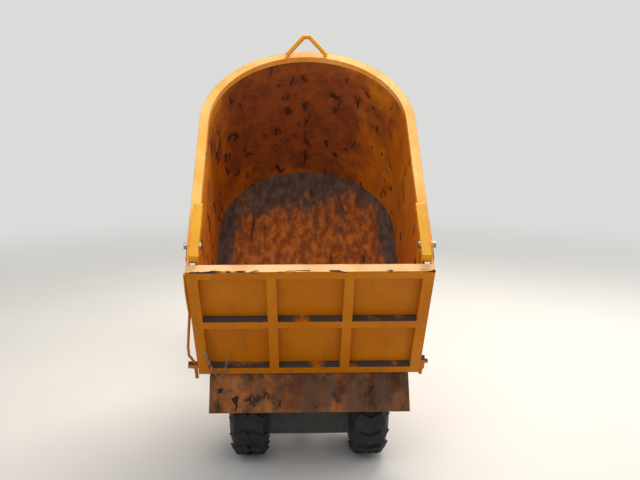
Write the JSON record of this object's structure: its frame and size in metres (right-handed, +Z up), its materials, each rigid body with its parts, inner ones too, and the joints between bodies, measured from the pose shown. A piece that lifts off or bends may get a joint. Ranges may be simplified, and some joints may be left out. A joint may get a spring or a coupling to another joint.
{
  "type": "site dumper",
  "caption": "Articulated site dumper with a tipped steel skip, a top-hinged gate, lugged tyres, a seat on the engine cover and a steering wheel.",
  "frame": {"origin": "on the ground under the steering pin, midway between the axles", "axes": "+X is to the right of a person who stands in front of the machine and looks at the skip, the machine's front is -Y, +Z is up"},
  "size_m": [1.072, 2.659, 2.0024],
  "materials": {
    "skip_paint": "worn orange-yellow paint over rust",
    "edge_paint": "faded orange-yellow paint, edges worn to the steel",
    "gate_paint": "orange-yellow paint, chipped and scratched",
    "lip_steel": "paint worn off to brown rust",
    "body_paint": "orange-yellow paint with dust",
    "frame_paint": "dark paint with dried mud",
    "wheel_paint": "paint with mud",
    "steel": "greasy bare steel",
    "rod_chrome": "polished",
    "engine_metal": "cast, oily",
    "iron": "painted casting",
    "rubber": "worn",
    "tyre": "dusty",
    "seat_cover": "black vinyl",
    "black_plastic": "moulded",
    "hot_steel": "heat-stained and rusty"
  },
  "bodies": {
    "front_frame": {"front_chassis": "frame_paint", "pivot_pins": "steel", "front_axle": "iron", "skip_stops": "rubber"},
    "skip": {"skip_shell": "skip_paint", "skip_rim": "edge_paint", "skip_lip": "lip_steel", "skip_bearers": "body_paint", "skip_crossbars": "body_paint", "skip_handle": "edge_paint", "hinge_bars": "body_paint", "hinge_bolts": "steel"},
    "gate": {"gate_panel": "gate_paint", "gate_frame": "gate_paint", "gate_ears": "gate_paint", "gate_lock": "gate_paint"},
    "steer_knuckle": {"steer_block": "iron"},
    "steer_barrel": {"steer_barrel_tube": "frame_paint"},
    "steer_rod": {"steer_piston_rod": "rod_chrome"},
    "ram_barrel": {"ram_barrel_tube": "frame_paint"},
    "ram_rod": {"ram_piston_rod": "rod_chrome"},
    "rear_frame": {"rear_chassis": "frame_paint", "rear_axle": "iron", "steps": "frame_paint", "deck": "body_paint", "console": "body_paint", "controls": "black_plastic", "engine": "engine_metal", "engine_cover": "body_paint", "bonnet_hinges": "steel", "tail_weight": "iron", "tow_hitch": "frame_paint", "tanks": "frame_paint", "exhaust": "hot_steel"},
    "steering_wheel": {"steering_wheel_ring": "black_plastic"},
    "bonnet": {"bonnet_shell": "body_paint", "seat_pan": "frame_paint", "seat_cushion": "seat_cover", "seat_back": "seat_cover"},
    "wheel_front_left": {"rim_front_left": "wheel_paint", "tyre_front_left": "tyre"},
    "wheel_front_right": {"rim_front_right": "wheel_paint", "tyre_front_right": "tyre"},
    "wheel_rear_left": {"rim_rear_left": "wheel_paint", "tyre_rear_left": "tyre"},
    "wheel_rear_right": {"rim_rear_right": "wheel_paint", "tyre_rear_right": "tyre"}
  },
  "joints": [
    {"name": "skip_tip", "type": "hinge", "parent": "front_frame", "child": "skip", "pos_m": [0, -0.78, 0.444], "axis": [1, 0, 0], "range_deg": [-36, 12]},
    {"name": "gate_swing", "type": "hinge", "parent": "skip", "child": "gate", "pos_m": [0, -1.2465, 1.1241], "axis": [-1, 0, 0], "range_deg": [0, 80]},
    {"name": "steer", "type": "hinge", "parent": "front_frame", "child": "steer_knuckle", "pos_m": [0, 0, 0.325], "axis": [0, 0, 1], "range_deg": [-30, 30]},
    {"name": "frame_swing", "type": "hinge", "parent": "steer_knuckle", "child": "rear_frame", "pos_m": [0, 0.115, 0.325], "axis": [0, 1, 0], "range_deg": [-8, 8]},
    {"name": "ram_foot", "type": "hinge", "parent": "front_frame", "child": "ram_barrel", "pos_m": [0, -0.285, 0.248], "axis": [1, 0, 0], "range_deg": [-3, 3]},
    {"name": "ram_slide", "type": "slide", "parent": "ram_barrel", "child": "ram_rod", "axis": [0, -0.6716, 0.7409], "range_m": [-0.146, 0.078]},
    {"name": "steer_foot", "type": "hinge", "parent": "front_frame", "child": "steer_barrel", "pos_m": [0.15, -0.35, 0.284], "axis": [0, 0, 1], "range_deg": [-3, 3]},
    {"name": "steer_slide", "type": "slide", "parent": "steer_barrel", "child": "steer_rod", "axis": [0, 1, 0], "range_m": [-0.077, 0.077]},
    {"name": "steering_wheel_turn", "type": "hinge", "parent": "rear_frame", "child": "steering_wheel", "pos_m": [0, 0.665, 1.13], "axis": [0, 0.5736, 0.8192], "range_deg": [-360, 360]},
    {"name": "bonnet_lift", "type": "hinge", "parent": "rear_frame", "child": "bonnet", "pos_m": [0, 1.29, 0.694], "axis": [-1, 0, 0], "range_deg": [0, 65]},
    {"name": "wheel_front_left_spin", "type": "hinge", "parent": "front_frame", "child": "wheel_front_left", "pos_m": [-0.28, -0.7, 0.268], "axis": [1, 0, 0], "continuous": true},
    {"name": "wheel_front_right_spin", "type": "hinge", "parent": "front_frame", "child": "wheel_front_right", "pos_m": [0.28, -0.7, 0.268], "axis": [1, 0, 0], "continuous": true},
    {"name": "wheel_rear_left_spin", "type": "hinge", "parent": "rear_frame", "child": "wheel_rear_left", "pos_m": [-0.28, 0.7, 0.268], "axis": [1, 0, 0], "continuous": true},
    {"name": "wheel_rear_right_spin", "type": "hinge", "parent": "rear_frame", "child": "wheel_rear_right", "pos_m": [0.28, 0.7, 0.268], "axis": [1, 0, 0], "continuous": true}
  ],
  "couplings": [
    {"joint": "ram_foot", "follows": "skip_tip", "ratio": -0.02},
    {"joint": "ram_slide", "follows": "skip_tip", "m_per_rad": 0.228},
    {"joint": "steer_foot", "follows": "steer", "ratio": -0.0245},
    {"joint": "steer_slide", "follows": "steer", "m_per_rad": 0.143},
    {"joint": "steering_wheel_turn", "follows": "steer", "ratio": -12}
  ]
}
